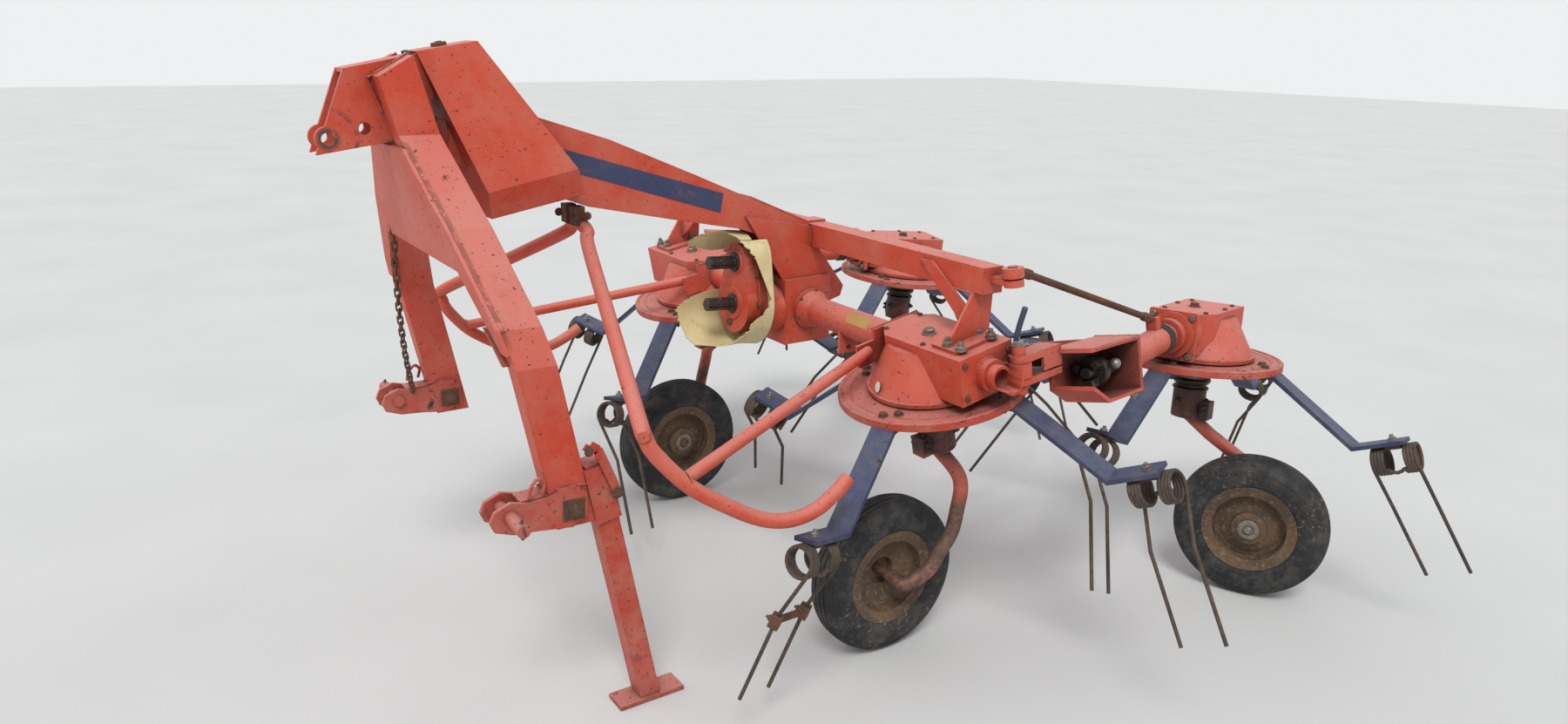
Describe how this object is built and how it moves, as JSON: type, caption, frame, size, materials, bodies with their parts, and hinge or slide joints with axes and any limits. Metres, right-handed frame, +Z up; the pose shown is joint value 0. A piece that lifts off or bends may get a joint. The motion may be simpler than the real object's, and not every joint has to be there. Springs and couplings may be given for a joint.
{
  "type": "hay tedder",
  "caption": "Mounted rotary hay tedder with a tall three-point mast, spring tines on flat arms and outer rotors swung back for transport.",
  "frame": {"origin": "on the ground, under the middle of the whole part's box in its transport position", "axes": "+Z up, -Y towards the tractor, +X towards the machine's left side"},
  "size_m": [2.668, 2.7756, 1.441],
  "materials": {
    "frame_paint": "faded orange-red paint, chalky on top faces, chipped to rust at edges",
    "arm_paint": "worn navy paint with rust at the bolts",
    "spring_steel": "brown-grey, weathered spring wire",
    "bare_steel": "greasy bare steel with light rust",
    "tyre_rubber": "dusty black rubber",
    "rim_paint": "thin pale paint mostly worn to brown rust",
    "guard_plastic": "sun-yellowed cream plastic, broken edge"
  },
  "bodies": {
    "frame": {"mast_head": "frame_paint", "leg_left": "frame_paint", "leg_right": "frame_paint", "mast_web": "frame_paint", "mast_cover": "frame_paint", "main_beam": "frame_paint", "cross_beam": "frame_paint", "support_brackets": "frame_paint", "cross_tube": "frame_paint", "input_gearbox": "frame_paint", "input_shafts": "bare_steel", "shaft_guard": "guard_plastic", "inner_gearboxes": "frame_paint", "hoop_left": "frame_paint", "hoop_right": "frame_paint", "hitch_brackets": "frame_paint", "stand_sleeve": "frame_paint", "inner_wheel_legs": "frame_paint"},
    "stand": {"stand": "frame_paint"},
    "inner_rotor_left": {"disc_inner_left": "frame_paint", "arms_inner_left": "arm_paint", "tines_inner_left": "spring_steel"},
    "outer_unit_left": {"boom_left": "frame_paint", "outer_gearbox_left": "frame_paint", "outer_wheel_leg_left": "frame_paint"},
    "outer_hub_left": {"rotor_hub_left": "bare_steel"},
    "outer_rotor_left": {"disc_outer_left": "frame_paint", "arms_outer_left": "arm_paint", "tines_outer_left": "spring_steel"},
    "wheel_inner_left": {"tyre_inner_left": "tyre_rubber", "rim_inner_left": "rim_paint"},
    "wheel_outer_left": {"tyre_outer_left": "tyre_rubber", "rim_outer_left": "rim_paint"},
    "inner_rotor_right": {"disc_inner_right": "frame_paint", "arms_inner_right": "arm_paint", "tines_inner_right": "spring_steel"},
    "outer_unit_right": {"boom_right": "frame_paint", "outer_gearbox_right": "frame_paint", "outer_wheel_leg_right": "frame_paint"},
    "outer_hub_right": {"rotor_hub_right": "bare_steel"},
    "outer_rotor_right": {"disc_outer_right": "frame_paint", "arms_outer_right": "arm_paint", "tines_outer_right": "spring_steel"},
    "wheel_inner_right": {"tyre_inner_right": "tyre_rubber", "rim_inner_right": "rim_paint"},
    "wheel_outer_right": {"tyre_outer_right": "tyre_rubber", "rim_outer_right": "rim_paint"}
  },
  "joints": [
    {"name": "stand_slide", "type": "slide", "parent": "frame", "child": "stand", "axis": [0, -0.1865, 0.9825], "range_m": [0, 0.25]},
    {"name": "inner_rotor_left_spin", "type": "hinge", "parent": "frame", "child": "inner_rotor_left", "pos_m": [0.54627, -0.16378, 0.675], "axis": [0, -0.1891, 0.982], "continuous": true},
    {"name": "inner_rotor_right_spin", "type": "hinge", "parent": "frame", "child": "inner_rotor_right", "pos_m": [-0.54373, -0.16378, 0.675], "axis": [0, -0.1891, 0.982], "continuous": true},
    {"name": "fold_left", "type": "hinge", "parent": "frame", "child": "outer_unit_left", "pos_m": [0.78327, -0.10878, 0.7], "axis": [0.1178, 0.0821, -0.9896], "range_deg": [0, 105]},
    {"name": "fold_right", "type": "hinge", "parent": "frame", "child": "outer_unit_right", "pos_m": [-0.78073, -0.10878, 0.7], "axis": [0.1178, -0.0821, 0.9896], "range_deg": [0, 105]},
    {"name": "outer_hub_left_turn", "type": "hinge", "parent": "outer_unit_left", "child": "outer_hub_left", "pos_m": [0.6347, 0.73145, 0.63], "axis": [0.0435, -0.0586, -0.9973], "range_deg": [0, 60]},
    {"name": "outer_rotor_left_spin", "type": "hinge", "parent": "outer_hub_left", "child": "outer_rotor_left", "pos_m": [0.6347, 0.73145, 0.63], "axis": [-0.0435, 0.0586, 0.9973], "continuous": true},
    {"name": "outer_hub_right_turn", "type": "hinge", "parent": "outer_unit_right", "child": "outer_hub_right", "pos_m": [-0.63216, 0.73145, 0.63], "axis": [0.0435, 0.0586, 0.9973], "range_deg": [0, 60]},
    {"name": "outer_rotor_right_spin", "type": "hinge", "parent": "outer_hub_right", "child": "outer_rotor_right", "pos_m": [-0.63216, 0.73145, 0.63], "axis": [0.0435, 0.0586, 0.9973], "continuous": true},
    {"name": "wheel_inner_left_spin", "type": "hinge", "parent": "frame", "child": "wheel_inner_left", "pos_m": [0.53327, -0.27878, 0.198], "axis": [1, 0, 0], "continuous": true},
    {"name": "wheel_outer_left_spin", "type": "hinge", "parent": "outer_unit_left", "child": "wheel_outer_left", "pos_m": [0.86171, 0.74945, 0.198], "axis": [-0.4633, 0.8862, 0], "continuous": true},
    {"name": "wheel_inner_right_spin", "type": "hinge", "parent": "frame", "child": "wheel_inner_right", "pos_m": [-0.53073, -0.27878, 0.198], "axis": [1, 0, 0], "continuous": true},
    {"name": "wheel_outer_right_spin", "type": "hinge", "parent": "outer_unit_right", "child": "wheel_outer_right", "pos_m": [-0.85916, 0.74945, 0.198], "axis": [0.4633, 0.8862, 0], "continuous": true}
  ],
  "couplings": [
    {"joint": "inner_rotor_right_spin", "follows": "inner_rotor_left_spin", "ratio": -1},
    {"joint": "outer_rotor_left_spin", "follows": "inner_rotor_left_spin", "ratio": -1},
    {"joint": "outer_rotor_right_spin", "follows": "inner_rotor_left_spin", "ratio": 1},
    {"joint": "outer_hub_left_turn", "follows": "fold_left", "ratio": 0.562},
    {"joint": "outer_hub_right_turn", "follows": "fold_right", "ratio": 0.562}
  ]
}
